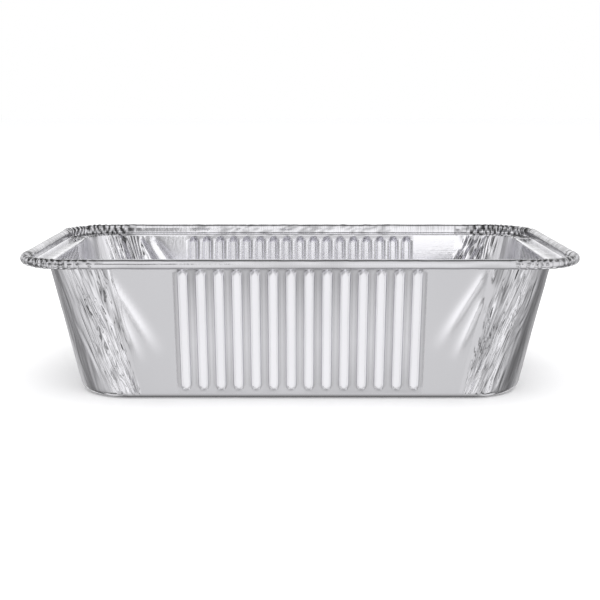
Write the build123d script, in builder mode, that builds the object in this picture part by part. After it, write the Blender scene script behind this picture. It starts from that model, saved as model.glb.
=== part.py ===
"""Pressed aluminium foil tray: one sheet drawn into a tapered tub, with fluted walls, pleated
corners, a flat ledge and a rolled edge. Millimetres, +Z up, origin under the middle of the floor."""

from build123d import *
from math import atan2, cos, degrees, pi, radians, sin, tan
import os

# Overall sizes and the sheet
length = 220.0  # over the rolled edge, along X
width = 116.0  # over the rolled edge, along Y
height = 59.4  # floor to the top of the rolled edge
foil = 0.1  # sheet thickness

# Tub
draft = 7.8  # lean of the flat walls, in degrees from upright
mouth_corner = 11.5  # plan radius of the corners of the mouth
foot_corner = 24.0  # plan radius of the corners where the walls meet the floor
foot_bend = 3.5  # outer radius of the bend between the floor and the walls

# Ledge and rolled edge
ledge = 5.6  # flat ledge, between its two bends
ledge_bend = 0.8  # radius under the bend from the wall out to the ledge
roll_bend = 0.6  # radius over the bend from the ledge up to the roll
roll_radius = 1.95  # outside of the roll
roll_turn = 300.0  # how far the edge is rolled round, in degrees

# Flutes of the walls: crests stand out, with a pointed head and a round toe
flute_head = 2.0  # plain wall between the ledge and the flutes, up the slope
flute_toe = 4.2  # plain wall between the floor line and the flutes, up the slope
front_count = 14
front_pitch = 7.0
back_count = 17
back_pitch = 6.3
side_depth = 1.0  # of the flutes on the long walls
side_crest = 2.7
side_flank = 0.85  # width of a sloping flank, seen square to the wall
end_count = 12
end_pitch = 2.7
end_depth = 0.45
end_crest = 1.0
end_flank = 0.4

# Pleats of the corners: folds that run down each corner and widen towards the floor
pleat_count = 7
pleat_depth = 0.5
pleat_flank = 0.4
pleat_head_width = 1.5
pleat_toe_width = 2.8
pleat_sink = 0.08  # how far a pleat is let into the curved corner

# Worked out from the sizes above
lean = tan(radians(draft))
ledge_top = height - 2 * roll_radius + foil
ledge_under = ledge_top - foil
ledge_end = ledge_bend + ledge  # from the wall out to where the ledge turns up
overhang = 2 * roll_radius + roll_bend + ledge_end  # from the wall to the outside of the roll
mouth_length = length - 2 * overhang  # over the walls, at the underside of the ledge
mouth_width = width - 2 * overhang
foot_length = mouth_length - 2 * ledge_under * lean  # over the walls, carried down to the floor
foot_width = mouth_width - 2 * ledge_under * lean
slope = ledge_under / cos(radians(draft))  # height of a flat wall, up its slope


def wall_plane(turn: float, foot: float) -> Plane:
    """A flat wall's outside: X along the wall, Y up the slope from the floor line, Z outward."""
    out = Vector(0, -1, 0).rotate(Axis.Z, turn)
    along = Vector(1, 0, 0).rotate(Axis.Z, turn)
    return Plane(out * foot, x_dir=along, z_dir=out - Vector(0, 0, lean))


def narrowing(depth: float, flank: float, skin: float) -> float:
    """How much narrower a ridge is, on each side, on the face that lies skin into the sheet."""
    return skin * tan((pi / 2 - atan2(flank, depth)) / 2)


def flute_row(turn, foot, count, pitch, depth, crest, flank, skin) -> Part:
    """A row of flutes on one wall, for the face that lies skin into the sheet."""
    half = crest / 2 + flank - narrowing(depth, flank, skin)
    low = flute_toe + half
    high = slope - flute_head - half
    with BuildSketch(mode=Mode.PRIVATE) as outline:
        with BuildLine():
            Polyline((-half, low), (-half, high), (0, high + half), (half, high), (half, low))
            ThreePointArc((half, low), (0, low - half), (-half, low))
        make_face()
    with BuildPart(mode=Mode.PRIVATE) as row:
        with BuildSketch(wall_plane(turn, foot).offset(-skin)):
            with GridLocations(pitch, 0, count, 1):
                add(outline.sketch)
        extrude(amount=depth, taper=degrees(atan2(flank, depth)))
    return row.part


def pleat(angle, side_x, side_y, skin) -> Part:
    """One fold down a corner, for the face that lies skin into the sheet."""
    out = Vector(side_x * cos(radians(angle)), side_y * sin(radians(angle)))
    inward = Vector(side_x, side_y)
    foot_middle = Vector(side_x * foot_length / 2, side_y * foot_width / 2) - inward * foot_corner
    mouth_middle = Vector(side_x * mouth_length / 2, side_y * mouth_width / 2) - inward * mouth_corner
    foot = foot_middle + out * foot_corner
    upward = mouth_middle + out * mouth_corner + Vector(0, 0, ledge_under) - foot
    normal = Vector(0, 0, 1).cross(out).cross(upward)
    narrower = narrowing(pleat_depth, pleat_flank, skin)
    toe = pleat_toe_width / 2 - narrower
    head = pleat_head_width / 2 - narrower
    top = upward.length - flute_head
    with BuildPart(mode=Mode.PRIVATE) as fold:
        with BuildSketch(Plane(foot, x_dir=upward.cross(normal), z_dir=normal).offset(-skin - pleat_sink)):
            with BuildLine():
                Polyline((-toe, flute_toe), (-head, top), (head, top), (toe, flute_toe), close=True)
            make_face()
        extrude(amount=pleat_depth + pleat_sink, taper=degrees(atan2(pleat_flank, pleat_depth)))
    return fold.part


def tub(skin) -> Part:
    """The tub and ledge as a solid block: the sheet's outside, or what lies skin into the sheet."""
    shrink = skin * tan(radians(90 - draft) / 2)
    floor = Plane.XY.offset(skin)
    level = floor.offset(ledge_under)
    with BuildPart(mode=Mode.PRIVATE) as block:
        with BuildSketch(floor):
            RectangleRounded(foot_length - 2 * shrink, foot_width - 2 * shrink, foot_corner - shrink)
        with BuildSketch(level):
            RectangleRounded(mouth_length - 2 * shrink, mouth_width - 2 * shrink, mouth_corner - shrink)
        loft(ruled=True)
        fillet(block.edges().group_by(Axis.Z)[0], radius=foot_bend - skin)
        with BuildSketch(level):
            RectangleRounded(mouth_length + 2 * ledge_end, mouth_width + 2 * ledge_end, mouth_corner + ledge_end)
        extrude(amount=foil)
        under = block.faces().filter_by(Axis.Z).sort_by(Axis.Z)[1]
        fillet(under.inner_wires()[0].edges(), radius=ledge_bend + skin)
        add(flute_row(0, foot_width / 2, front_count, front_pitch, side_depth, side_crest, side_flank, skin))
        add(flute_row(180, foot_width / 2, back_count, back_pitch, side_depth, side_crest, side_flank, skin))
        for turn in (90, 270):
            add(flute_row(turn, foot_length / 2, end_count, end_pitch, end_depth, end_crest, end_flank, skin))
        for side_x in (-1, 1):
            for side_y in (-1, 1):
                for step in range(1, pleat_count + 1):
                    add(pleat(90 * step / (pleat_count + 1), side_x, side_y, skin))
    return block.part


# The rolled edge: its section stands on the front of the ledge and runs right round it
turn_up = roll_bend + foil / 2
roll_middle = roll_radius - foil / 2
ledge_middle = Plane.XY.offset(ledge_under + foil / 2)
with BuildSketch(ledge_middle) as ledge_edge:
    RectangleRounded(mouth_length + 2 * ledge_end, mouth_width + 2 * ledge_end, mouth_corner + ledge_end)
section = Plane((0, -mouth_width / 2 - ledge_end, ledge_under + foil / 2), x_dir=(0, -1, 0), z_dir=(-1, 0, 0))

with BuildPart() as roll:
    with BuildSketch(section):
        with BuildLine():
            RadiusArc((0, 0), (turn_up, turn_up), -turn_up)
            Line((turn_up, turn_up), (turn_up, roll_middle))
            CenterArc((turn_up + roll_middle, roll_middle), roll_middle, 180, -roll_turn)
        trace(line_width=foil)
    sweep(path=ledge_edge.sketch.wire(), transition=Transition.RIGHT)

# The whole tray: the outside and the roll, less the space inside
with BuildPart() as foil_tray:
    add(tub(0))
    add(tub(foil), mode=Mode.SUBTRACT)
    add(roll.part)

os.makedirs("parts", exist_ok=True)
foil_tray.part.label = "foil_tray"
export_step(foil_tray.part, "parts/foil_tray.step")
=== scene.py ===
"""Looks of a pressed aluminium foil tray: the thin fluted sheet with its gathered corners, a bright
foil finish with light and shade painted into its colour, and the pale studio that it stands in.
Sizes are in millimetres until a mesh is made."""

import logging
import math
from dataclasses import dataclass
from enum import Enum
from typing import ClassVar

import bpy
import numpy as np
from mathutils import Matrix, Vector


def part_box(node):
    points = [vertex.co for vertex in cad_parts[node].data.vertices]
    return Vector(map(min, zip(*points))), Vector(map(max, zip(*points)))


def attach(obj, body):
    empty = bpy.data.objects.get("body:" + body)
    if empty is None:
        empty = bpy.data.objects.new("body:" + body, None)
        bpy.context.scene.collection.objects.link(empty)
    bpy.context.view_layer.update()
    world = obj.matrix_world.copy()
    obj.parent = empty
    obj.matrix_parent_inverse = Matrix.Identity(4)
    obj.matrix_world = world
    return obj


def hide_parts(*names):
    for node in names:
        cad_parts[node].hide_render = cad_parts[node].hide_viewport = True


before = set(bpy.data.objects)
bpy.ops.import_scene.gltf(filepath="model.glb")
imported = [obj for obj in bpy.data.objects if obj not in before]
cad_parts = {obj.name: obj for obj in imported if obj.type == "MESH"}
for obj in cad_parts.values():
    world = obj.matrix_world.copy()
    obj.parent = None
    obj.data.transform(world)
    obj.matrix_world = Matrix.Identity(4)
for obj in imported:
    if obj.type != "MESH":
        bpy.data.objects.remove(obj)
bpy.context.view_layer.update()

NODE = "foil_tray"
BODY = "root"
MM = 0.001
MAP_LAYERS = 7
QUARTER = math.pi / 2

Input = bpy.types.NodeSocket | float | tuple[float, ...]
Inputs = dict[str | int, Input]
Stops = tuple[tuple[float, float], ...]

logger = logging.getLogger("foil_tray")


class Zone(Enum):
    """What a stretch of wall is pressed into."""

    FLUTES = "flutes"
    PANEL = "panel"
    GATHER = "gather"


class Side(Enum):
    """The four walls, in order round the tray; the value counts quarter turns from the front."""

    FRONT = 0
    RIGHT = 1
    BACK = 2
    LEFT = 3

    @property
    def is_long(self) -> bool:
        """Whether this is one of the two long walls."""
        return self.value % 2 == 0


def smooth(value: np.ndarray) -> np.ndarray:
    """Eases a value from 0 to 1 with level ends.

    Args:
        value: numbers of any size; those outside 0 to 1 are held at the ends.

    Returns:
        The eased numbers.
    """
    held = np.clip(value, 0.0, 1.0)
    return held * held * (3.0 - 2.0 * held)


def fold(phase: np.ndarray) -> np.ndarray:
    """A zigzag of period 1 between -1 and 1, as flat facets between creases.

    Args:
        phase: where along the wave, in periods.

    Returns:
        The height of the zigzag.
    """
    return 1.0 - 4.0 * np.abs(phase - np.floor(phase + 0.5))


class Grain:
    """Smooth seeded noise over a plane, the same on each run."""

    def __init__(self, seed: int, size: int = 257) -> None:
        """Fills the lattice.

        Args:
            seed: picks the pattern.
            size: how many lattice points there are each way before it repeats.
        """
        self.size = size
        self.table = np.random.default_rng(seed).uniform(-1.0, 1.0, (size, size))

    def at(self, u: np.ndarray, v: np.ndarray) -> np.ndarray:
        """Reads the noise.

        Args:
            u: first coordinate, in lattice steps.
            v: second coordinate, in lattice steps.

        Returns:
            Values between -1 and 1.
        """
        u, v = np.broadcast_arrays(np.asarray(u, float), np.asarray(v, float))
        iu, iv = np.floor(u).astype(int), np.floor(v).astype(int)
        fu, fv = smooth(u - iu), smooth(v - iv)
        a, b = iu % self.size, iv % self.size
        c, d = (iu + 1) % self.size, (iv + 1) % self.size
        low = self.table[a, b] * (1 - fu) + self.table[c, b] * fu
        high = self.table[a, d] * (1 - fu) + self.table[c, d] * fu
        return low * (1 - fv) + high * fv


@dataclass(frozen=True)
class FluteRow:
    """One row of flutes: how many, how far apart, the section of each and the slope of its head."""

    fine_pitch: ClassVar[float] = 4.0
    count: int
    pitch: float
    depth: float
    crest: float
    flank: float
    gable: float = 0.4

    @property
    def half(self) -> float:
        """Half the width of a flute at the wall."""
        return self.crest / 2 + self.flank

    @property
    def reach(self) -> float:
        """Distance from the middle of the row to the foot of its last flute."""
        return (self.count - 1) / 2 * self.pitch + self.half

    def offsets(self) -> list[float]:
        """Where columns of the mesh stand across one flute; a fine one has fewer.

        Returns:
            Positions from left to right, counted from the flute's middle.
        """
        fine = self.pitch < self.fine_pitch
        flank_steps = (0.0, 0.5, 1.0) if fine else (0.0, 0.28, 0.72, 1.0)
        right = [self.crest / 2 + self.flank * s for s in flank_steps]
        inner = [] if fine else [self.crest / 4]
        return [-x for x in reversed(inner + right)] + [0.0] + inner + right

    def columns(self) -> list[float]:
        """Where columns of the mesh stand across the whole row.

        Returns:
            Positions along the wall, from left to right.
        """
        found = []
        for k in range(self.count):
            middle = (k - (self.count - 1) / 2) * self.pitch
            found += [middle + x for x in self.offsets()]
            if k < self.count - 1:
                found.append(middle + self.pitch / 2)
        return found


@dataclass(frozen=True)
class Tray:
    """Sizes of the sheet, in millimetres, all measured to the middle of its thickness."""

    length: float
    width: float
    height: float
    foil: float = 0.1
    draft: float = 7.8
    mouth_corner: float = 11.5
    foot_corner: float = 24.0
    foot_bend: float = 3.5
    ledge: float = 6.4
    ledge_bend: float = 0.8
    roll_bend: float = 0.6
    roll_radius: float = 1.95
    roll_turn: float = 300.0
    flute_head: float = 0.5
    flute_toe: float = 4.2
    long_gather: tuple[float, float] = (13.5, 4.0)
    end_gather: tuple[float, float] = (4.0, -3.3)
    front: FluteRow = FluteRow(14, 7.0, 1.0, 3.2, 0.6)
    back: FluteRow = FluteRow(17, 6.3, 0.75, 2.7, 0.6)
    end: FluteRow = FluteRow(12, 2.7, 0.45, 1.0, 0.4)

    @property
    def lean(self) -> float:
        """How far a wall leans out for each millimetre of height."""
        return math.tan(math.radians(self.draft))

    @property
    def mean_corner(self) -> float:
        """Radius of the corners half-way up."""
        return (self.mouth_corner + self.foot_corner) / 2

    @property
    def ledge_level(self) -> float:
        """Height of the ledge."""
        return self.height - 2 * self.roll_radius + self.foil / 2

    @property
    def overhang(self) -> float:
        """Distance from the wall to the outside of the roll."""
        return 2 * self.roll_radius + self.roll_bend + self.ledge

    def half_mouth(self, side: Side) -> tuple[float, float]:
        """Half the mouth along a wall, and the wall's distance from the middle."""
        along, across = self.length / 2 - self.overhang, self.width / 2 - self.overhang
        return (along, across) if side.is_long else (across, along)

    def half_foot(self, side: Side) -> tuple[float, float]:
        """The same as half_mouth, where the walls reach floor height."""
        shift = self.ledge_level * self.lean
        return tuple(half - shift for half in self.half_mouth(side))

    def row(self, side: Side) -> FluteRow:
        """The flutes of one wall."""
        return {Side.FRONT: self.front, Side.BACK: self.back}.get(side, self.end)

    def gather(self, side: Side) -> tuple[float, float]:
        """How far the gathers run on from the corner onto a wall, at the mouth and at the foot."""
        return self.long_gather if side.is_long else self.end_gather


@dataclass
class Column:
    """One line of the sheet that runs from the floor to the rolled edge."""

    foot: tuple[float, float]
    mouth: tuple[float, float]
    foot_out: tuple[float, float]
    mouth_out: tuple[float, float]
    side: Side
    zone: Zone
    across: float
    turn: float = 0.0


def outline_point(
    a: float, flat: float, distance: float, radius: float
) -> tuple[float, float, float, float]:
    """A point of a rounded rectangle, by its position along one wall.

    Args:
        a: position along the wall, from its middle.
        flat: half the straight part of the wall.
        distance: the wall's distance from the middle of the tray.
        radius: corner radius.

    Returns:
        Position along and out, and the outward direction along and out.
    """
    if abs(a) <= flat:
        return a, distance, 0.0, 1.0
    side = math.copysign(1.0, a)
    tilt = math.asin(min(1.0, (abs(a) - flat) / radius))
    return a, distance - radius + radius * math.cos(tilt), side * math.sin(tilt), math.cos(tilt)


def turned(side: Side, a: float, out: float) -> tuple[float, float]:
    """A wall's own coordinates, along and out, as X and Y."""
    return {
        Side.FRONT: (a, -out),
        Side.RIGHT: (out, a),
        Side.BACK: (-a, out),
        Side.LEFT: (-out, -a),
    }[side]


def arc_point(side: Side, half: float, distance: float, radius: float, tilt: float) -> tuple[float, float]:
    """A point of the rounded corner that follows a wall.

    Args:
        side: the wall.
        half: half the length of the wall, with its corners.
        distance: the wall's distance from the middle of the tray.
        radius: corner radius.
        tilt: angle turned since the wall's end.

    Returns:
        Its X and Y.
    """
    return turned(
        side, half - radius + radius * math.sin(tilt), distance - radius + radius * math.cos(tilt)
    )


class ColumnPlan:
    """Lays out the columns of the mesh right round the tray, in stretches that share a zone.

    The numbers of columns of a panel, and of the part of a gather on a wall's flat, go by whether
    the wall is long.
    """

    panel_columns = {True: 22, False: 10}
    flat_gather_columns = {True: 32, False: 9}
    arc_columns = 66

    def __init__(self, tray: Tray) -> None:
        """Makes every stretch in order, starting with the left panel of the front wall.

        Args:
            tray: the sizes of the sheet.
        """
        self.tray = tray
        self.stretches: list[list[Column]] = []
        for side in Side:
            self._wall(side)
            self._corner(side)

    def _at(
        self, side: Side, mouth_a: float, foot_a: float, zone: Zone, across: float, turn: float = 0.0
    ) -> Column:
        """A column of a wall.

        Args:
            side: the wall.
            mouth_a: position along it at the mouth.
            foot_a: position along it at the foot.
            zone: what the wall is pressed into there.
            across: position in its row of flutes or its gather.
            turn: share of the corner's turn, from -0.5 to 0.5.

        Returns:
            The column.
        """
        t = self.tray
        half, distance = t.half_mouth(side)
        am, om, nm, nom = outline_point(mouth_a, half - t.mouth_corner, distance, t.mouth_corner)
        half, distance = t.half_foot(side)
        af, of, nf, nof = outline_point(foot_a, half - t.foot_corner, distance, t.foot_corner)
        return Column(
            turned(side, af, of), turned(side, am, om), turned(side, nf, nof), turned(side, nm, nom),
            side, zone, across, turn,
        )

    def _wall(self, side: Side) -> None:
        """Adds the two panels of one wall, with the flutes between them.

        Args:
            side: the wall.
        """
        row = self.tray.row(side)
        mouth_end, foot_end = self._gather_start(side)
        edge = row.reach + row.pitch * 0.2
        count = self.panel_columns[side.is_long]
        share = (np.arange(count) + 0.5) / count
        panel = [(edge + (mouth_end - edge) * s, edge + (foot_end - edge) * s) for s in share]
        self.stretches += [
            [self._at(side, -m, -f, Zone.PANEL, -m) for m, f in reversed(panel)],
            [self._at(side, x, x, Zone.FLUTES, x) for x in row.columns()],
            [self._at(side, m, f, Zone.PANEL, m) for m, f in panel],
        ]

    def _gather_start(self, side: Side) -> tuple[float, float]:
        """Where the gathers begin along a wall.

        Args:
            side: the wall.

        Returns:
            Distances from the wall's middle, at the mouth and at the foot.
        """
        t = self.tray
        on_mouth, on_foot = t.gather(side)
        mouth_flat = t.half_mouth(side)[0] - t.mouth_corner
        foot_flat = t.half_foot(side)[0] - t.foot_corner
        return mouth_flat - on_mouth, foot_flat - on_foot

    def _corner(self, side: Side) -> None:
        """Adds the gathered stretch between one wall and the next.

        Args:
            side: the wall before the corner.
        """
        after = Side((side.value + 1) % len(Side))
        self.stretches.append(
            self._flat_gather(side, -1.0) + self._arc(side, after) + self._flat_gather(after, 1.0)[::-1]
        )

    def _flat_gather(self, side: Side, sign: float) -> list[Column]:
        """The part of a gathered stretch that lies on the flat of one wall.

        Args:
            side: the wall.
            sign: -1 for the wall before the corner, 1 for the wall after it.

        Returns:
            Its columns, in order towards the corner.
        """
        t = self.tray
        mouth_end, foot_end = self._gather_start(side)
        mouth_flat = t.half_mouth(side)[0] - t.mouth_corner
        foot_flat = max(foot_end, t.half_foot(side)[0] - t.foot_corner)
        run = (mouth_flat - mouth_end + foot_flat - foot_end) / 2
        count = self.flat_gather_columns[side.is_long]
        return [
            self._at(
                side,
                -sign * (mouth_end + (mouth_flat - mouth_end) * s),
                -sign * (foot_end + (foot_flat - foot_end) * s),
                Zone.GATHER,
                sign * (t.mean_corner * QUARTER / 2 + run * (1 - s)),
                sign * 0.5,
            )
            for s in np.arange(count) / count
        ]

    def _foot_tilt(self, side: Side) -> float:
        """Angle of the foot's arc that a wall keeps, where its gathers start past its flat."""
        on_foot = self.tray.gather(side)[1]
        return math.asin(max(0.0, -on_foot) / self.tray.foot_corner)

    def _arc(self, side: Side, after: Side) -> list[Column]:
        """The rounded part of a corner.

        Args:
            side: the wall before the corner.
            after: the wall after it.

        Returns:
            Its columns, in order round the tray.
        """
        t = self.tray
        first, last = self._foot_tilt(side), self._foot_tilt(after)
        found = []
        for k in range(self.arc_columns + 1):
            share = k / self.arc_columns
            at_mouth = QUARTER * share
            at_foot = first + (QUARTER - first - last) * share
            found.append(
                Column(
                    arc_point(side, *t.half_foot(side), t.foot_corner, at_foot),
                    arc_point(side, *t.half_mouth(side), t.mouth_corner, at_mouth),
                    turned(side, math.sin(at_foot), math.cos(at_foot)),
                    turned(side, math.sin(at_mouth), math.cos(at_mouth)),
                    side, Zone.GATHER, t.mean_corner * QUARTER * (share - 0.5), share - 0.5,
                )
            )
        return found


class Weave:
    """Collects vertices and faces of one side of the sheet, and joins rows that differ in spacing."""

    def __init__(self) -> None:
        """Starts empty."""
        self.points: list[np.ndarray] = []
        self.maps: list[np.ndarray] = []
        self.faces: list[tuple[int, ...]] = []
        self.count = 0

    def add(self, points: np.ndarray, maps: np.ndarray) -> np.ndarray:
        """Adds a grid of vertices.

        Args:
            points: positions, rows by columns by 3.
            maps: distance round the tray, distance up the sheet, the light and shade painted on the
            sheet outside and inside, how blurred its reflections are outside and inside, and how
            strong the painted shade of its fine rib lines is, rows by columns by MAP_LAYERS.

        Returns:
            The vertex numbers, rows by columns.
        """
        rows, columns = points.shape[:2]
        numbers = np.arange(self.count, self.count + rows * columns).reshape(rows, columns)
        self.points.append(points.reshape(-1, 3))
        self.maps.append(maps.reshape(-1, MAP_LAYERS))
        self.count += rows * columns
        return numbers

    def fill(self, numbers: np.ndarray) -> None:
        """Makes the quads of a grid.

        Args:
            numbers: vertex numbers, rows by columns, with columns to the right and rows upward.
        """
        a, b = numbers[:-1, :-1], numbers[:-1, 1:]
        c, d = numbers[1:, 1:], numbers[1:, :-1]
        self.faces += list(map(tuple, np.stack([a, b, c, d], -1).reshape(-1, 4)))

    def stitch(
        self, low: np.ndarray, low_at: np.ndarray, high: np.ndarray, high_at: np.ndarray
    ) -> None:
        """Joins two lines of vertices with triangles, advancing along whichever lags behind.

        Args:
            low: vertex numbers of the lower line, left to right.
            low_at: how far along each of them is.
            high: vertex numbers of the upper line, left to right.
            high_at: how far along each of those is.
        """
        i = j = 0
        while i < len(low) - 1 or j < len(high) - 1:
            step_low = j == len(high) - 1 or (
                i < len(low) - 1 and low_at[i + 1] + low_at[i] <= high_at[j + 1] + high_at[j]
            )
            if step_low:
                self.faces.append((low[i], low[i + 1], high[j]))
                i += 1
            else:
                self.faces.append((low[i], high[j + 1], high[j]))
                j += 1


def maps_of(*layers: np.ndarray | float) -> np.ndarray:
    """Stacks what each vertex carries besides its place; see Weave.add for the layers."""
    return np.stack(np.broadcast_arrays(*layers), -1)


@dataclass(frozen=True)
class Creases:
    """How the foil gathers at the corners: widths and heights of the folds, in millimetres.

    Past calm_start, measured from the corner's middle towards the end wall, the folds fade to calm
    foil over calm_fade. The rim's folds reach rim_reach from the corner's middle and fade over
    rim_fade.
    """

    widths: tuple[float, ...] = (4.8, 2.5, 1.4)
    heights: tuple[float, ...] = (0.36, 0.30, 0.19)
    wander: float = 0.9
    crumple: float = 0.16
    soft_height: float = 0.55
    roll_pitch: float = 2.2
    roll_height: float = 0.34
    ledge_height: float = 0.24
    edge: float = 2.5
    ragged: float = 2.2
    calm_start: float = -11.0
    calm_fade: float = 8.0
    calm_fold_loss: float = 0.85
    calm_painted_streak_loss: float = 0.7
    rim_reach: float = 25.0
    rim_ragged: float = 4.0
    rim_fade: float = 7.0
    seed: int = 11


@dataclass(frozen=True)
class SoftCrease:
    """A broad shallow crease of a long wall: its ends, along and up the wall, height and width."""

    head: tuple[float, float]
    tail: tuple[float, float]
    height: float
    width: float


SOFT_CREASES = {
    Side.FRONT: (
        SoftCrease((-76.0, 54.0), (-54.0, 17.0), 1.0, 2.0),
        SoftCrease((-74.0, 46.0), (-61.5, 14.0), 0.8, 1.5),
        SoftCrease((72.0, 54.0), (52.0, 19.0), 0.9, 2.0),
        SoftCrease((71.0, 43.0), (60.0, 15.0), 0.8, 1.6),
    ),
    Side.BACK: (
        SoftCrease((76.0, 54.0), (58.0, 22.0), 0.9, 1.7),
        SoftCrease((70.0, 54.0), (50.0, 26.0), 0.8, 1.8),
    ),
}


@dataclass(frozen=True)
class PaintedShades:
    """Light and shade painted into the colour of each part of the sheet, as shares of the finish's full
    brightness.

    A drift or spread is how far noise carries a value either way; a loss is painted shade and a gain
    painted light. Grooves lie between the flutes, hollows are the flutes from inside, and calm foil is the
    smooth part of a gathered corner.
    """

    panel: float = 0.62
    panel_drift: float = 0.02
    # Painted highlights on the soft creases and the crests; painted shade in the grooves by height, darkest
    # at the top.
    soft_crease: float = 0.97
    crest: float = 0.98
    groove_heights: tuple[float, ...] = (0.0, 0.1, 0.4, 0.7, 0.9, 0.955, 0.975)
    grooves: tuple[float, ...] = (0.60, 0.64, 0.74, 0.67, 0.56, 0.56, 0.4)
    groove_drift: float = 0.05
    gather: float = 0.8
    gather_spread: float = 0.42
    # Painted shade of the front-right corner and of calm foil.
    dark_corner_loss: float = 0.16
    calm_loss: float = 0.1
    # Painted light and shade inside, on the walls and on the inner floor.
    inside: float = 0.95
    inside_long: float = 0.99
    inside_floor: float = 0.85
    # Painted shade in the end walls' hollows, grey painted lines in the back's, and painted shade between
    # the flute heads.
    end_hollow_loss: float = 0.66
    back_hollow_loss: float = 0.02
    back_hollow_spread: float = 0.10
    head_loss: float = 0.4
    # Painted light and shade of the rim: dark folds and dashes, a lighter ledge, and a change by side.
    rim: float = 0.76
    rim_drift: float = 0.1
    ledge_gain: float = 0.16
    fold_loss: float = 0.88
    dash_loss: float = 0.4
    # Painted light or shade of the rim on each side, in the order of Side.
    rim_side_shades: tuple[float, float, float, float] = (-0.1, -0.08, 0.05, -0.08)


@dataclass
class Pressing:
    """What pressing does at each point of a wall; every array is rows by columns.

    The arrays are the distance outward from the plain wall, the light and shade painted outside and
    inside, how strong the painted shade of fine rib lines is, and where a gathered corner is calm.
    """

    out: np.ndarray
    outside: np.ndarray
    inside: np.ndarray
    rib_shade: np.ndarray
    calm: np.ndarray


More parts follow.
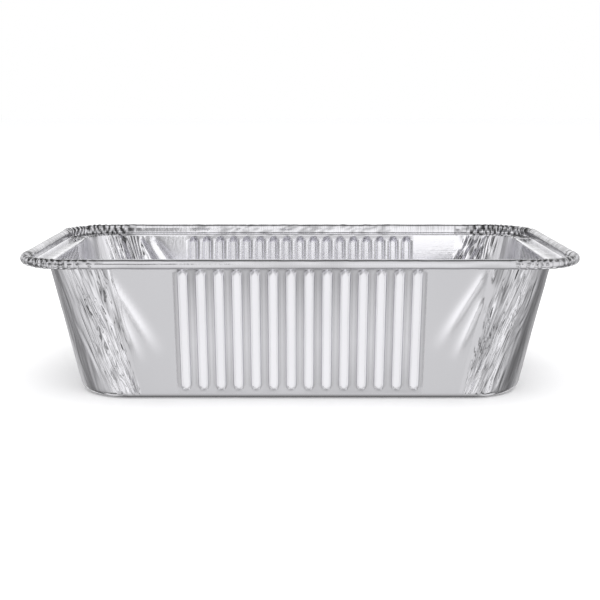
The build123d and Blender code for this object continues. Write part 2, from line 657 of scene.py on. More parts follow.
class FoilSheet:
    """The tray's one sheet of foil, as a closed shell of its real thickness.

    Blurs are how soft the reflections are, outside and inside. Steps say how many columns apart the
    floor and the rim keep theirs. Fine dark rib lines of painted shade lie over gathered and rolled foil,
    and the rim's go by side, in the order of Side.
    """

    wall_rows = {Zone.PANEL: 26, Zone.GATHER: 36}
    toe_rows = (0.0, 0.018, 0.03, 0.042, 0.056, 0.075, 0.11)
    middle_rows = (0.24, 0.42, 0.6, 0.76)
    head_rows = (0.86, 0.905, 0.925, 0.94, 0.955, 0.97, 0.985, 1.0)
    blurs = {Zone.FLUTES: (1.0, 0.55), Zone.PANEL: (0.5, 0.2), Zone.GATHER: (0.0, 0.0)}
    calm_blur = 0.9
    floor_blurs = (0.3, 0.9)
    rim_blur = 0.1
    # How strong the painted shade of fine rib lines is: on gathers, on the rim by side, and near the rim's
    # corners.
    gather_ribs = 0.75
    rim_ribs = (0.03, 1.0, 0.3, 1.0)
    corner_ribs = 0.5
    floor_steps = {Zone.FLUTES: 6, Zone.PANEL: 3, Zone.GATHER: 2}
    floor_insets = (1.5, 4.5, 9.0, 14.0)
    rim_steps = {Zone.FLUTES: 4, Zone.PANEL: 3, Zone.GATHER: 1}
    rim_start = 60.0
    roll_lines = 13
    dented_reach = 50.0
    dented_more = 2.6
    far = 99.0

    def __init__(self, tray: Tray, creases: Creases, shades: PaintedShades) -> None:
        """Keeps the sizes and lays out the columns.

        Args:
            tray: the sizes of the sheet.
            creases: how its corners gather.
            shades: the light and shade painted into its parts.
        """
        self.tray = tray
        self.creases = creases
        self.shades = shades
        self.plan = ColumnPlan(tray)
        self.weave = Weave()
        self.grains = [Grain(creases.seed + k) for k in range(8)]
        self._measure()

    def _measure(self) -> None:
        """Works out every column's distance round the tray, at mid height."""
        total = 0.0
        before = None
        self.run: list[np.ndarray] = []
        for stretch in self.plan.stretches:
            found = []
            for column in stretch:
                here = np.add(column.foot, column.mouth) / 2
                if before is not None:
                    total += float(np.hypot(*(here - before)))
                before = here
                found.append(total)
            self.run.append(np.array(found))
        first = self.plan.stretches[0][0]
        here = np.add(first.foot, first.mouth) / 2
        self.round = total + float(np.hypot(*(here - before)))

    def _arrays(self, stretch: list[Column]) -> dict[str, np.ndarray]:
        """The columns of a stretch as arrays."""
        names = ("foot", "mouth", "foot_out", "mouth_out")
        return {name: np.array([getattr(c, name) for c in stretch], float) for name in names}

    def _slopes(self, stretch: list[Column]) -> np.ndarray:
        """How far each column leans out for each millimetre of height."""
        arrays = self._arrays(stretch)
        return ((arrays["mouth"] - arrays["foot"]) * arrays["mouth_out"]).sum(-1) / self.tray.ledge_level

    def _base(
        self, stretch: list[Column], level: np.ndarray, out: np.ndarray
    ) -> tuple[np.ndarray, np.ndarray]:
        """Points of the sheet before it is pressed, and the way it faces.

        Args:
            stretch: the columns.
            level: height of each point, rows by columns.
            out: distance outward from the plain wall, rows by columns.

        Returns:
            Points and outward normals of the plain wall, rows by columns by 3.
        """
        t = self.tray
        arrays = self._arrays(stretch)
        share = (level / t.ledge_level)[..., None]
        place = arrays["foot"] + (arrays["mouth"] - arrays["foot"]) * share
        held = np.clip(share, 0.0, 1.0)
        way = arrays["foot_out"] * (1 - held) + arrays["mouth_out"] * held
        way /= np.linalg.norm(way, axis=-1, keepdims=True)
        place = place + way * out[..., None]
        points = np.concatenate([place, level[..., None]], -1)
        slope = np.broadcast_to(self._slopes(stretch), level.shape)[..., None]
        normal = np.concatenate([way, -slope], -1)
        return points, normal / np.linalg.norm(normal, axis=-1, keepdims=True)

    def _flutes(self, side: Side, across: np.ndarray, level: np.ndarray) -> np.ndarray:
        """How far the flutes stand out.

        Args:
            side: the wall.
            across: position along the wall.
            level: height.

        Returns:
            Distance outward.
        """
        t = self.tray
        row = t.row(side)
        scale = math.cos(math.radians(t.draft))
        up = level / scale
        index = np.clip(np.round(across / row.pitch + (row.count - 1) / 2), 0, row.count - 1)
        offset = np.abs(across - (index - (row.count - 1) / 2) * row.pitch)
        low = t.flute_toe + row.half
        high = t.ledge_level / scale - t.flute_head - row.half
        sides = row.half - offset
        gable = (high + row.half - up - offset) * row.gable
        toe = np.where(up < low, row.half - np.hypot(offset, up - low), sides)
        depth = np.minimum(np.minimum(sides, toe), np.where(up > high - row.half, gable, sides))
        return row.depth * smooth(depth / row.flank)

    def _gathers(self, corner: int, across: np.ndarray, up: np.ndarray) -> np.ndarray:
        """Folds of a gathered corner.

        Args:
            corner: which corner, so that no two are alike.
            across: distance from the middle of the corner.
            up: height as a share of the wall, from 0 to 1.

        Returns:
            Distance outward.
        """
        c = self.creases
        shift = 37.3 * corner
        g = self.grains
        wander = g[0].at(across / 6.0 + shift, up * 3.0) * c.wander
        wander = wander + g[1].at(across / 2.2 + shift, up * 7.0) * c.wander * 0.35
        height = np.zeros_like(across)
        for k, (width, tall) in enumerate(zip(c.widths, c.heights)):
            phase = across / width + wander * (0.6 + 0.35 * k)
            phase = phase + g[2 + k].at(across / width * 0.5 + shift, up * (2 + 2 * k))
            strength = 0.65 + 0.6 * g[5].at(across / (width * 1.4) + shift + 9 * k, up * (3.0 + 2 * k))
            height += tall * np.clip(strength, 0.1, 1.4) * fold(phase)
        patches = g[7].at(across / 5.0, up * 6.0 + shift)
        return height + c.crumple * g[6].at(across / 0.9 + shift, up * 42.0) * patches

    def _soft_creases(self, side: Side, along: np.ndarray, level: np.ndarray) -> np.ndarray:
        """Broad shallow creases that run down from a corner onto the flat part of a long wall.

        Args:
            side: the wall.
            along: position along the wall.
            level: height.

        Returns:
            Distance outward, as a share of Creases.soft_height.
        """
        lift = np.zeros_like(along)
        for crease in SOFT_CREASES.get(side, ()):
            (x, z), line = crease.head, np.subtract(crease.tail, crease.head)
            size = float(np.hypot(*line))
            share = ((along - x) * line[0] + (level - z) * line[1]) / size**2
            away = ((along - x) * line[1] - (level - z) * line[0]) / size
            fade = smooth(share / 0.12) * smooth((1.0 - share) / 0.55)
            width = crease.width * (0.55 + 0.75 * np.clip(share, 0.0, 1.0))
            lift += crease.height * fade * np.exp(-((away / width) ** 2))
        return lift

    def _wall_press(self, stretch: list[Column], corner: int, level: np.ndarray) -> Pressing:
        """Presses a stretch of wall.

        Args:
            stretch: the columns.
            corner: number of the stretch, so that no two corners are alike.
            level: height of each point, rows by columns.

        Returns:
            What is pressed into it.
        """
        side, zone = stretch[0].side, stretch[0].zone
        across = np.array([c.across for c in stretch])[None, :] + np.zeros_like(level)
        drift = self.grains[3].at(across / 19.0 + 11 * side.value, level / 27.0)
        plain = Pressing(
            out=0.03 * drift,
            outside=self.shades.panel + self.shades.panel_drift * drift,
            inside=np.full_like(level, self.shades.inside),
            rib_shade=np.zeros_like(level),
            calm=np.zeros_like(level),
        )
        if zone is Zone.FLUTES:
            return self._press_flutes(plain, side, across, level)
        soft = self._soft_creases(side, self._along(stretch, level), level)
        plain.out = plain.out + self.creases.soft_height * soft
        # A painted highlight along the soft creases.
        lit = np.clip(1.3 * soft, 0.0, 1.0)
        plain.outside = plain.outside + (self.shades.soft_crease - plain.outside) * lit
        if zone is Zone.GATHER:
            return self._press_gathers(plain, side, corner, across, level)
        return plain

    def _along(self, stretch: list[Column], level: np.ndarray) -> np.ndarray:
        """Positions along the wall of a stretch.

        Args:
            stretch: the columns.
            level: height of each point, rows by columns.

        Returns:
            Distance from the wall's middle, rows by columns.
        """
        arrays = self._arrays(stretch)
        up = level / self.tray.ledge_level
        place = arrays["foot"] + (arrays["mouth"] - arrays["foot"]) * up[..., None]
        along_x, along_y = turned(stretch[0].side, 1.0, 0.0)
        return place[..., 0] * along_x + place[..., 1] * along_y

    def _press_flutes(
        self, plain: Pressing, side: Side, across: np.ndarray, level: np.ndarray
    ) -> Pressing:
        """Presses the flutes of a wall.

        Args:
            plain: the wall before it has them.
            side: the wall.
            across: position along the wall.
            level: height.

        Returns:
            The wall with flutes.
        """
        shades, g = self.shades, self.grains
        row = self.tray.row(side)
        up = level / self.tray.ledge_level
        flutes = self._flutes(side, across, level)
        share = flutes / row.depth
        # Painted shade in the grooves, which changes with height and is darkest at the top, and a painted
        # highlight on the crests.
        groove = np.interp(up, shades.groove_heights, shades.grooves)
        groove = groove + shades.groove_drift * g[2].at(across / 6.0 + 3.0, up * 2.0)
        groove = np.where(np.abs(across) < row.reach, groove, plain.outside)
        top = shades.crest + 0.02 * g[4].at(across / 5.0, up * 3.0)
        outside = groove + (top - groove) * smooth((share - 0.06) / 0.34)
        # Inside: painted shade in the end walls' flutes, grey painted lines in the back's, and painted
        # shade between the flute heads at the top.
        if not side.is_long:
            inside = shades.inside - shades.end_hollow_loss * smooth(share / 0.5)
        else:
            spot = g[5].at(np.round(across / row.pitch + 0.5) * 0.7, up)
            loss = shades.back_hollow_loss + shades.back_hollow_spread * spot
            inside = shades.inside_long - loss * smooth((share - 0.25) / 0.4) * (side is Side.BACK)
            inside = inside - shades.head_loss * smooth((up - 0.95) / 0.03) * (share < 0.1)
        return Pressing(plain.out + flutes, outside, inside, plain.rib_shade, plain.calm)

    def _press_gathers(
        self, plain: Pressing, side: Side, corner: int, across: np.ndarray, level: np.ndarray
    ) -> Pressing:
        """Presses the folds of a gathered corner, which die out towards the end wall, and paints their
        light and shade.

        Args:
            plain: the corner before it has them.
            side: the wall before the corner.
            corner: number of the stretch.
            across: distance from the middle of the corner.
            level: height.

        Returns:
            The corner with folds.
        """
        c, shades, g = self.creases, self.shades, self.grains
        up = level / self.tray.ledge_level
        ragged = c.ragged * g[4].at(up * 7.0 + corner * 5.1, np.zeros_like(up) + corner)
        within = np.minimum(across - across[0, 0], across[0, -1] - across) + ragged
        mask = smooth(within / c.edge) * smooth((level - 1.0) / c.edge)
        fade = 0.6 + 0.4 * smooth((1.02 - up) / 0.3)
        towards_end = across if side.is_long else -across
        calm = smooth((towards_end - c.calm_start + 1.5 * ragged) / c.calm_fade)
        folds = mask * fade * (1.0 - c.calm_fold_loss * calm) * self._gathers(corner, across, up)
        # Painted reflection over the folds: light and dark streaks, fainter on calm foil.
        painted_streaks = g[6].at(across / 0.75 + 17 * corner, up * 5.0 + 0.12 * across)
        painted_streaks = 0.6 * painted_streaks + 0.6 * g[7].at(across / 2.1 + 17 * corner, up * 3.0)
        painted_streaks = painted_streaks * (1.0 - c.calm_painted_streak_loss * calm)
        # Painted shade: the front-right corner is darker, and calm foil a little darker.
        loss = (shades.dark_corner_loss if side is Side.FRONT else 0.0) + shades.calm_loss * calm
        painted_shading = np.clip(shades.gather - loss + shades.gather_spread * painted_streaks, 0.25, 0.99)
        return Pressing(
            out=plain.out + folds,
            outside=plain.outside + (painted_shading - plain.outside) * mask,
            inside=plain.inside + (np.clip(painted_shading + 0.08, 0.35, 0.99) - plain.inside) * mask,
            rib_shade=self.gather_ribs * mask * (1.0 - c.calm_painted_streak_loss * calm),
            calm=calm,
        )

    def _wall(self) -> None:
        """The walls, stretch by stretch, each with as many rows as its shape needs."""
        t = self.tray
        self.low: list[np.ndarray] = []
        self.high: list[np.ndarray] = []
        edges = []
        for k, stretch in enumerate(self.plan.stretches):
            lean = self._leans(stretch)
            bottom = t.foot_bend * (1 - np.sin(lean)) + t.foil / 2
            top = t.ledge_level - t.ledge_bend * (1 - np.sin(lean))
            share = self._row_shares(stretch[0].zone)[:, None]
            level = bottom + (top - bottom) * share
            points, normal = self._base(stretch, level, np.zeros_like(level))
            pressed = self._wall_press(stretch, k, level)
            points = points + normal * pressed.out[..., None]
            rise = t.foot_bend * 1.4 + level / math.cos(math.radians(t.draft))
            blurs = [np.maximum(b, self.calm_blur * pressed.calm) for b in self.blurs[stretch[0].zone]]
            shades = (pressed.outside, pressed.inside)
            maps = maps_of(self.run[k][None, :], rise, *shades, *blurs, pressed.rib_shade)
            numbers = self.weave.add(points, maps)
            self.weave.fill(numbers)
            self.low.append(numbers[0])
            self.high.append(numbers[-1])
            edges.append((numbers[:, 0], level[:, 0], numbers[:, -1], level[:, -1]))
        for k, (_, _, last, last_level) in enumerate(edges):
            first, first_level = edges[(k + 1) % len(edges)][:2]
            self.weave.stitch(first, first_level, last, last_level)

    def _row_shares(self, zone: Zone) -> np.ndarray:
        """Heights of a stretch's rows, which crowd at the ends of the flutes.

        Args:
            zone: what the stretch is pressed into.

        Returns:
            The heights, as shares of the wall.
        """
        if zone is not Zone.FLUTES:
            return np.linspace(0.0, 1.0, self.wall_rows[zone] + 1)
        return np.array(self.toe_rows + self.middle_rows + self.head_rows)

    def _leans(self, stretch: list[Column]) -> np.ndarray:
        """How far each column leans out, as an angle from upright."""
        return np.arctan(self._slopes(stretch))

    def _closed(self, chains: list[np.ndarray]) -> tuple[np.ndarray, np.ndarray]:
        """Joins the lines of vertices of all stretches into one that closes on itself.

        Args:
            chains: vertex numbers of each stretch.

        Returns:
            The vertex numbers, and their distances round the tray.
        """
        numbers = np.concatenate(chains)
        run = np.concatenate(self.run)
        return np.append(numbers, numbers[0]), np.append(run, self.round)

    def _thinned(self, steps: dict[Zone, int]) -> tuple[list[Column], np.ndarray, np.ndarray]:
        """A share of the columns, for parts of the sheet that need fewer.

        Args:
            steps: keeps every so many columns, for each zone.

        Returns:
            The columns, their distances round the tray, and their distances from the nearest
            corner's middle along the rim, which are large away from the corners.
        """
        columns, run, corner = [], [], []
        for k, stretch in enumerate(self.plan.stretches):
            step = steps[stretch[0].zone]
            near = np.full(len(stretch), self.far)
            if stretch[0].zone is Zone.GATHER:
                reach = self.tray.ledge
                rim = np.array([np.add(c.mouth, np.multiply(c.mouth_out, reach)) for c in stretch])
                length = np.append(0.0, np.cumsum(np.hypot(*(np.diff(rim, axis=0).T))))
                middle = int(np.argmin(np.abs([c.turn for c in stretch])))
                near = length - length[middle]
            start = (len(stretch) - 1) % step // 2
            picked = range(start, len(stretch), step)
            columns += [stretch[i] for i in picked]
            run += [self.run[k][i] for i in picked]
            corner += [near[i] for i in picked]
        return columns, np.array(run), np.array(corner)

    def _floor(self) -> None:
        """The bend at the foot of the walls and the flat floor."""
        t = self.tray
        columns, run, _ = self._thinned(self.floor_steps)
        lean = self._leans(columns)
        turn = QUARTER - lean
        reach = t.foot_bend * np.tan(turn / 2)
        levels, outs, rises = [], [], []
        for share in (0.8, 0.6, 0.4, 0.2, 0.0):
            angle = turn * share
            rise = t.foot_bend * (1 - np.cos(angle))
            levels.append(rise + t.foil / 2)
            outs.append(-(reach - t.foot_bend * np.sin(angle)) - rise * np.tan(lean))
            rises.append(t.foot_bend * angle)
        for inset in self.floor_insets:
            levels.append(np.full(len(columns), t.foil / 2))
            outs.append(-reach - inset)
            rises.append(np.full(len(columns), -inset))
        level, out = np.array(levels), np.array(outs)
        points, _ = self._base(columns, level, out)
        shades = (self.shades.panel, self.shades.inside_floor)
        maps = maps_of(run, np.array(rises), *shades, *self.floor_blurs, 0.0)
        numbers = self.weave.add(points, maps)
        closed = np.concatenate([numbers, numbers[:, :1]], 1)
        self.weave.fill(closed[::-1])
        above, above_run = self._closed(self.low)
        self.weave.stitch(closed[0], np.append(run, run[0] + self.round), above, above_run)
        self.weave.faces.append(tuple(numbers[-1][::-1]))

    def _rim(self) -> None:
        """The bend to the ledge, the ledge, and the rolled edge."""
        t = self.tray
        columns, run, corner = self._thinned(self.rim_steps)
        lean = self._leans(columns)
        out, level, push_out, push_up, part = self._rim_section(lean)
        steps = np.hypot(np.diff(out, axis=0), np.diff(level, axis=0))
        rise = self.rim_start + np.cumsum(np.vstack([np.zeros(len(columns)), steps]), 0)
        at_run, corner = run + np.zeros_like(level), corner + np.zeros_like(level)
        sides = np.array([c.side.value for c in columns])
        dented = [c.side is Side.BACK and abs(c.across) < self.dented_reach for c in columns]
        # The rim's painted rib shade, by side and stronger near the corners.
        rib_shade = np.take(self.rim_ribs, sides)[None, :]
        rib_shade = np.maximum(rib_shade, self.corner_ribs * smooth((22.0 - np.abs(corner)) / 6.0))
        press, painted_shading = self._rim_press(
            at_run, rise, corner, part,
            np.where(dented, self.dented_more, 1.0)[None, :],
            np.take(self.shades.rim_side_shades, sides)[None, :],
        )
        out, level = out + push_out * press, level + push_up * press
        ruled_back = (t.ledge_level - level) * np.tan(lean)
        points, _ = self._base(columns, np.minimum(level, t.ledge_level), out + np.maximum(ruled_back, 0.0))
        points[..., 2] = level
        blurs = (self.rim_blur, self.rim_blur)
        maps = maps_of(at_run, rise, painted_shading, painted_shading, *blurs, rib_shade * np.minimum(part, 1.0))
        numbers = self.weave.add(points, maps)
        closed = np.concatenate([numbers, numbers[:, :1]], 1)
        self.weave.fill(closed)
        below, below_run = self._closed(self.high)
        self.weave.stitch(below, below_run, closed[0], np.append(run, run[0] + self.round))
        self.free_edge = numbers[-1]

    def _rim_section(self, lean: np.ndarray) -> np.ndarray:
        """The rim's section at each column, in lines that run round the tray.

        Args:
            lean: how far each column's wall leans out.

        Returns:
            For each line, from the wall to the free edge: distance out from the mouth, height, the
            way towards the underside, out and up, and the part as _rim_press takes it. 5 by lines
            by columns.
        """
        t = self.tray
        turn = QUARTER - lean
        reach = t.ledge_bend * np.tan(turn / 2)
        lines = []
        for share in (0.35, 0.7, 1.0):
            angle = lean + turn * share
            out = reach - t.ledge_bend * np.cos(angle)
            level = t.ledge_level - t.ledge_bend * (1 - np.sin(angle))
            lines.append((out, level, np.cos(angle), -np.sin(angle), 0.4))
        for share in (0.2, 0.4, 0.6, 0.8, 0.97):
            lines.append((reach + (t.ledge - reach) * share, t.ledge_level, 0.0, -1.0, 1.0))
        up = t.roll_bend + t.foil / 2
        for angle in (0.5, 1.1, QUARTER):
            across, along = math.sin(angle), math.cos(angle)
            lines.append((t.ledge + up * across, t.ledge_level + up * (1 - along), across, -along, 0.6))
        radius = t.roll_radius - t.foil / 2
        middle_out, middle_level = t.ledge + up + radius, t.ledge_level + radius
        turns = np.radians(np.linspace(0.0, t.roll_turn, self.roll_lines))
        for angle in turns:
            along, across = math.cos(angle), math.sin(angle)
            place = (middle_out - radius * along, middle_level + radius * across)
            lines.append((*place, along, -across, 2.0 + angle / turns[-1]))
        return np.stack([np.stack(np.broadcast_arrays(*line, lean)[:5]) for line in lines], 1)

    def _rim_press(
        self, run: np.ndarray, rise: np.ndarray, corner: np.ndarray, part: np.ndarray,
        bumpy: np.ndarray, tone: np.ndarray,
    ) -> tuple[np.ndarray, np.ndarray]:
        """Small dents of the ledge and roll, and the tight folds where they turn a corner, with their
        painted light and shade.

        Args:
            run: distance round the tray.
            rise: distance up the sheet.
            corner: distance from the nearest corner's middle.
            part: 2 to 3 round the roll, 1 on the ledge, and less on the bends.
            bumpy: how strongly the straight rim is dented.
            tone: painted light or shade that the roll gains or loses on this side.

        Returns:
            Distance towards the underside, and the painted light and shade.
        """
        c, shades, g = self.creases, self.shades, self.grains
        rolled = part > 1.5
        near = c.rim_reach + c.rim_ragged * g[1].at(run / 5.0, 0.0) - np.abs(corner)
        near = smooth(near / c.rim_fade)
        jitter = 0.5 * g[0].at(run / 3.1, rise / 7.0)
        tight = fold(run / c.roll_pitch + jitter) * (0.75 + 0.5 * g[2].at(run / 2.4, rise / 3.0))
        fine = fold(run / (c.roll_pitch * 0.52) + 2 * jitter) * (0.5 + 0.5 * g[4].at(run / 2.0, rise / 2.0))
        dents = bumpy * (0.06 * g[5].at(run / 2.6, rise / 1.7) + 0.035 * g[3].at(run / 1.1, rise / 1.1))
        outer = 0.4 + 0.6 * smooth((2.6 - part) / 0.2)
        roll = c.roll_height * near * outer * (0.75 * tight + 0.3 * fine) + dents
        crumple = 0.6 * tight + 0.8 * g[3].at(run / 1.1, rise / 1.6)
        ledge = c.ledge_height * near * crumple + 0.035 * g[6].at(run / 3.0, rise / 2.2)
        press = np.where(rolled, roll, np.minimum(part, 1.0) * ledge)
        ragged = 0.25 * g[7].at(run / 1.5, rise / 1.5)
        # Painted shade in the tight folds where the rim turns a corner.
        dark = near * smooth((tight * np.sign(part - 1.5) - 0.02 + ragged) / 0.2)
        dark = dark * np.where(rolled, smooth((2.52 - part) / 0.08), 1.0)
        # Painted light and shade of the rim: a change by side, a little noise, and a lighter ledge.
        painted_shading = shades.rim + tone + shades.rim_drift * g[2].at(run / 9.0, rise / 1.5)
        painted_shading = painted_shading + (shades.ledge_gain - tone) * ~rolled
        # Painted shade in dark dashes along the dented part of the back rim.
        dashes = (bumpy > 1.0) * smooth((g[1].at(run / 1.7, rise / 0.9) - 0.05) / 0.3)
        painted_shading = painted_shading * (1.0 - shades.fold_loss * dark) * (1.0 - shades.dash_loss * dashes)
        return press, np.clip(painted_shading, 0.06, 0.98)

    def _shell(self) -> tuple[np.ndarray, np.ndarray, list[tuple[int, ...]]]:
        """Gives the sheet its thickness.

        Returns:
            Points, distances along the sheet, and faces of the closed shell.
        """
        points = np.concatenate(self.weave.points)
        maps = np.concatenate(self.weave.maps)
        mesh = bpy.data.meshes.new("sheet")
        mesh.from_pydata(points.tolist(), [], [tuple(int(i) for i in f) for f in self.weave.faces])
        mesh.update()
        normals = np.zeros(len(points) * 3, np.float32)
        mesh.vertices.foreach_get("normal", normals)
        normals = normals.reshape(-1, 3).astype(float)
        bpy.data.meshes.remove(mesh)
        half = self.tray.foil / 2
        shell = np.concatenate([points + normals * half, points - normals * half])
        count = len(points)
        faces = [tuple(int(i) for i in f) for f in self.weave.faces]
        back = [tuple(i + count for i in reversed(f)) for f in faces]
        edge = self.free_edge
        after = np.roll(edge, -1)
        lip = [(int(a), int(b), int(b) + count, int(a) + count) for a, b in zip(after, edge)]
        return shell, np.concatenate([maps, maps]), faces + back + lip

    def build(self) -> bpy.types.Object:
        """Makes the whole sheet.

        Returns:
            The new object.
        """
        self._wall()
        self._floor()
        self._rim()
        points, maps, faces = self._shell()
        mesh = bpy.data.meshes.new(NODE + "_sheet")
        mesh.from_pydata((points * MM).tolist(), [], faces)
        mesh.update()
        layer = mesh.uv_layers.new(name="sheet")
        corners = np.zeros(len(mesh.loops), np.int32)
        mesh.loops.foreach_get("vertex_index", corners)
        layer.data.foreach_set("uv", (maps[corners, :2] * 0.01).astype(np.float32).ravel())
        half = len(maps) // 2
        # The painted light and shade, the blur, and the painted rib shade go on the mesh as values at each
        # vertex, outside then inside.
        for name, outside, inside in (("painted_shading", 2, 3), ("blur", 4, 5), ("rib_shade", 6, 6)):
            values = np.concatenate([maps[:half, outside], maps[half:, inside]]).astype(np.float32)
            mesh.attributes.new(name, "FLOAT", "POINT").data.foreach_set("value", values)
        mesh.polygons.foreach_set("use_smooth", np.ones(len(mesh.polygons), bool))
        piece = bpy.data.objects.new(NODE + "_sheet", mesh)
        bpy.context.scene.collection.objects.link(piece)
        return piece


class Nodes:
    """A node tree, with short ways to add to it. An input is a socket to link or a value to set."""

    def __init__(self, tree: bpy.types.NodeTree) -> None:
        """Keeps the tree.

        Args:
            tree: the tree of a material or a world.
        """
        self.tree = tree

    def feed(self, node: bpy.types.Node, inputs: Inputs) -> None:
        """Sets or links inputs of a node.

        Args:
            node: the node.
            inputs: what goes into its sockets, by their names or numbers.
        """
        for name, value in inputs.items():
            if isinstance(value, bpy.types.NodeSocket):
                self.tree.links.new(value, node.inputs[name])
            else:
                node.inputs[name].default_value = value

    def add(self, kind: str, inputs: Inputs | None = None, **settings: str) -> bpy.types.Node:
        """Adds a node.

        Args:
            kind: the node's type, without the "ShaderNode" that it starts with.
            inputs: what goes into its sockets.
            settings: its other properties.

        Returns:
            The node.
        """
        node = self.tree.nodes.new("ShaderNode" + kind)
        for name, value in settings.items():
            setattr(node, name, value)
        self.feed(node, inputs or {})
        return node

    def maths(self, operation: str, *values: Input) -> bpy.types.NodeSocket:
        """The result of a maths node."""
        return self.add("Math", dict(enumerate(values)), operation=operation).outputs[0]

    def layer(self, name: str) -> bpy.types.NodeSocket:
        """One of the values that the mesh carries at each vertex."""
        return self.add("Attribute", attribute_name=name).outputs["Fac"]

    def noise(
        self, place: bpy.types.NodeSocket, scale: tuple[float, float, float], detail: float
    ) -> bpy.types.NodeSocket:
        """A noise stretched differently along each axis.

        Args:
            place: coordinates.
            scale: how fine the noise is along each axis.
            detail: how many finer layers it has.

        Returns:
            Its value, about 0.5 on average.
        """
        mapped = self.add("Mapping", {"Vector": place, "Scale": scale}).outputs["Vector"]
        return self.add("TexNoise", {"Vector": mapped, "Scale": 1.0, "Detail": detail}).outputs["Fac"]

    def ramp(self, source: bpy.types.NodeSocket, stops: Stops) -> bpy.types.NodeSocket:
        """A ramp of greys over a value.

        Args:
            source: the value.
            stops: pairs of position and brightness.

        Returns:
            The grey.
        """
        ramp = self.add("ValToRGB", {"Fac": source})
        elements = ramp.color_ramp.elements
        elements.remove(elements[-1])
        elements[0].position = stops[0][0]
        for at, _ in stops[1:]:
            elements.new(at)
        for element, (_, level) in zip(elements, stops):
            element.color = (level, level, level, 1.0)
        return ramp.outputs["Color"]


@dataclass(frozen=True)
class FoilFinish:
    """Bright plain aluminium foil, with fine dark rib lines of painted shade over gathered foil. A bump is
    its strength and its height in metres.
    """

    tint: tuple[float, float, float] = (0.963, 0.958, 0.993)
    roughness: tuple[float, float] = (0.08, 0.36)
    line_scale: tuple[float, float, float] = (60.0, 2600.0, 2600.0)
    line_bump: tuple[float, float] = (0.05, 0.0002)
    crinkle_scale: tuple[float, float, float] = (900.0, 900.0, 500.0)
    crinkle_bump: tuple[float, float] = (0.08, 0.0003)
    rib_scale: tuple[float, float, float] = (190.0, 9.0, 1.0)
    rib_edges: tuple[float, float] = (0.38, 0.52)
    rib_dark: float = 0.45

    def make(self) -> bpy.types.Material:
        """Builds the material.

        Returns:
            A metal with rolling lines, fine crinkle, and light and shade that the mesh carries.
        """
        material = bpy.data.materials.new("bright_foil")
        material.use_nodes = True
        nodes = Nodes(material.node_tree)
        colour = nodes.add(
            "Mix",
            {"Factor": self._painted_shading(nodes), "A": (0.0, 0.0, 0.0, 1.0), "B": (*self.tint, 1.0)},
            data_type="RGBA",
        )
        low, high = self.roughness
        rough = nodes.add("MapRange", {"Value": nodes.layer("blur"), "To Min": low, "To Max": high})
        nodes.feed(
            nodes.tree.nodes["Principled BSDF"],
            {
                "Metallic": 1.0,
                "Base Color": colour.outputs["Result"],
                "Roughness": rough.outputs["Result"],
                "Normal": self._bumps(nodes),
            },
        )
        return material

    def _bumps(self, nodes: Nodes) -> bpy.types.NodeSocket:
        """The rolling lines with the crinkle over them.

        Args:
            nodes: the material's tree.

        Returns:
            The normal.
        """
        place = nodes.add("TexCoord").outputs["Object"]
        lines = nodes.noise(place, self.line_scale, 3.0)
        crinkle = nodes.noise(place, self.crinkle_scale, 6.0)
        strength, height = self.line_bump
        first = nodes.add("Bump", {"Strength": strength, "Distance": height, "Height": lines})
        strength, height = self.crinkle_bump
        second = nodes.add("Bump", {"Strength": strength, "Distance": height, "Height": crinkle})
        nodes.feed(second, {"Normal": first.outputs["Normal"]})
        return second.outputs["Normal"]

    def _painted_shading(self, nodes: Nodes) -> bpy.types.NodeSocket:
        """The painted light and shade that the mesh carries, with fine dark lines of painted shade where
        the foil is gathered up.

        Args:
            nodes: the material's tree.

        Returns:
            The share of the tint that shows.
        """
        sheet = nodes.add("UVMap", uv_map="sheet").outputs["UV"]
        low, high = self.rib_edges
        depth = nodes.add(
            "MapRange",
            {
                "Value": nodes.noise(sheet, self.rib_scale, 2.0),
                "From Min": low,
                "From Max": high,
                "To Min": self.rib_dark,
                "To Max": 1.0,
            },
        )
        rib_shade = nodes.add("Mix", {"Factor": nodes.layer("rib_shade"), "A": 1.0, "B": depth.outputs["Result"]})
        return nodes.maths("MULTIPLY", nodes.layer("painted_shading"), rib_shade.outputs["Result"])


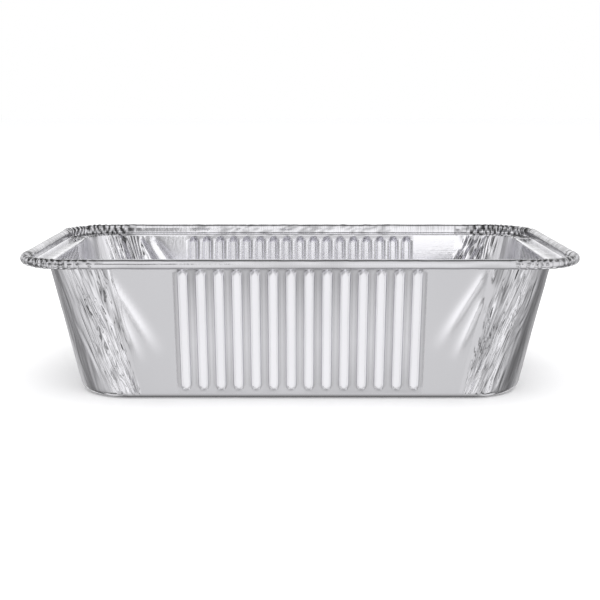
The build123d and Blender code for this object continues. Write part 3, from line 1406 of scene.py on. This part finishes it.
@dataclass(frozen=True)
class Studio:
    """A pale sweep, a broad soft light, and the camera.

    Bands, cards, aside, grey_height and grey_side shape what the foil sees, as _world says. Each is
    pairs of position and brightness.
    """

    camera_place: tuple[float, float, float] = (0.0, -0.4470, 0.1189)
    camera_pitch: float = 10.875
    lens: float = 63.0
    floor_reach: float = 6.0
    floor_drop: float = 0.00005
    floor_colour: tuple[float, float, float] = (0.93, 0.93, 0.935)
    floor_glow: float = 0.06
    light_place: tuple[float, float, float] = (0.1, -0.7, 1.5)
    light_size: float = 1.6
    light_power: float = 15.5
    surround: float = 1.12
    bands: Stops = (
        (0.0, 0.5), (0.083, 0.5), (0.13, 0.2), (0.194, 0.12), (0.278, 0.6), (0.361, 0.9),
        (0.44, 0.93), (0.50, 1.0), (0.60, 1.0), (0.70, 0.9), (0.735, 0.3), (0.76, 0.05),
        (0.81, 0.08), (0.86, 0.55), (0.93, 1.0), (0.96, 0.97), (1.0, 0.5),
    )
    cards: Stops = ((0.40, 0.08), (0.46, 0.45), (0.54, 0.8), (0.58, 1.0))
    aside: Stops = ((0.24, 0.0), (0.34, 1.0), (0.62, 1.0), (0.72, 0.0))
    grey_height: Stops = ((0.492, 0.0), (0.498, 0.74), (0.56, 0.74), (0.58, 0.0))
    grey_side: Stops = ((0.443, 1.0), (0.449, 0.0))

    def build(self) -> None:
        """Makes the floor, the light, the surroundings and the camera."""
        bpy.context.scene.view_settings.view_transform = "Standard"
        self._camera()
        self._floor()
        self._world()
        self._light()

    def _camera(self) -> None:
        """The camera, a little above the rim and looking down at the front wall."""
        data = bpy.data.cameras.new("camera")
        data.lens = self.lens
        data.sensor_width = 36.0
        data.clip_end = 50.0
        camera = bpy.data.objects.new("camera", data)
        camera.location = self.camera_place
        camera.rotation_euler = (math.radians(90.0 - self.camera_pitch), 0.0, 0.0)
        bpy.context.scene.collection.objects.link(camera)
        bpy.context.scene.camera = camera

    def _floor(self) -> None:
        """A plain white sweep, just under the tray so that their faces don't meet."""
        r, d = self.floor_reach, self.floor_drop
        mesh = bpy.data.meshes.new("floor")
        mesh.from_pydata([(-r, -r, -d), (r, -r, -d), (r, r, -d), (-r, r, -d)], [], [(0, 1, 2, 3)])
        floor = bpy.data.objects.new("floor", mesh)
        bpy.context.scene.collection.objects.link(floor)
        material = bpy.data.materials.new("floor")
        material.use_nodes = True
        Nodes(material.node_tree).feed(
            material.node_tree.nodes["Principled BSDF"],
            {
                "Base Color": (*self.floor_colour, 1.0),
                "Emission Color": (1.0, 1.0, 1.0, 1.0),
                "Emission Strength": self.floor_glow,
                "Roughness": 0.9,
                "Specular IOR Level": 0.0,
            },
        )
        mesh.materials.append(material)
        floor.visible_glossy = False

    def _world(self) -> None:
        """White surroundings, which the foil sees as light and shade.

        The bands go by the angle about the X axis: 0 is towards the front, a quarter turn is
        straight up, and half a turn is the back. Off to the sides they break up into cards, alike
        on the left and the right. One grey card stands low on the left of the front.
        """
        world = bpy.data.worlds.new("studio")
        bpy.context.scene.world = world
        world.use_nodes = True
        nodes = Nodes(world.node_tree)
        nodes.tree.nodes.clear()
        ahead = nodes.add("TexCoord").outputs["Generated"]
        x, y, z = nodes.add("SeparateXYZ", {"Vector": ahead}).outputs
        angle = nodes.maths("ARCTAN2", z, nodes.maths("MULTIPLY", y, -1.0))
        turn = nodes.maths("MULTIPLY_ADD", angle, 0.5 / math.pi, 0.5)
        aside = nodes.maths("ABSOLUTE", x)
        alike = nodes.add("CombineXYZ", {"X": nodes.maths("MULTIPLY", aside, -1.0), "Y": y, "Z": z})
        cards = nodes.add(
            "TexNoise",
            {"Vector": alike.outputs["Vector"], "Scale": 3.2, "Detail": 1.0, "Distortion": 0.4},
        )
        light = nodes.add(
            "Mix",
            {
                "Factor": nodes.ramp(aside, self.aside),
                "A": nodes.ramp(turn, self.bands),
                "B": nodes.ramp(cards.outputs["Fac"], self.cards),
            },
            data_type="RGBA",
        )
        across = nodes.maths("MULTIPLY_ADD", x, 0.5, 0.5)
        card = nodes.maths(
            "MULTIPLY", nodes.ramp(turn, self.grey_height), nodes.ramp(across, self.grey_side)
        )
        strength = nodes.maths("SUBTRACT", self.surround, card)
        seen = nodes.add("Background", {"Color": light.outputs["Result"], "Strength": strength})
        plain = nodes.add("Background", {"Color": (1.0, 1.0, 1.0, 1.0)})
        glossy = nodes.add("LightPath").outputs["Is Glossy Ray"]
        both = nodes.add(
            "MixShader",
            {0: glossy, 1: plain.outputs["Background"], 2: seen.outputs["Background"]},
        )
        nodes.add("OutputWorld", {"Surface": both.outputs["Shader"]})

    def _light(self) -> None:
        """A broad soft light over the front, for the floor; the foil doesn't see it."""
        data = bpy.data.lights.new("overhead", "AREA")
        data.size = self.light_size
        data.energy = self.light_power
        light = bpy.data.objects.new("overhead", data)
        light.location = self.light_place
        light.visible_glossy = False
        light.rotation_euler = (-Vector(self.light_place)).to_track_quat("-Z", "Y").to_euler()
        bpy.context.scene.collection.objects.link(light)


def main() -> None:
    """Builds the studio and the tray, and reports the piece."""
    logging.basicConfig(level=logging.INFO, format="%(name)s: %(message)s")
    Studio().build()
    low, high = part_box(NODE)
    size = (high - low) / MM
    piece = FoilSheet(Tray(size.x, size.y, size.z), Creases(), PaintedShades()).build()
    piece.data.materials.append(FoilFinish().make())
    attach(piece, BODY)
    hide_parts(NODE)
    triangles = sum(len(p.vertices) - 2 for p in piece.data.polygons)
    logger.info("%s: %d vertices, %d triangles", piece.name, len(piece.data.vertices), triangles)


if __name__ == "__main__":
    main()
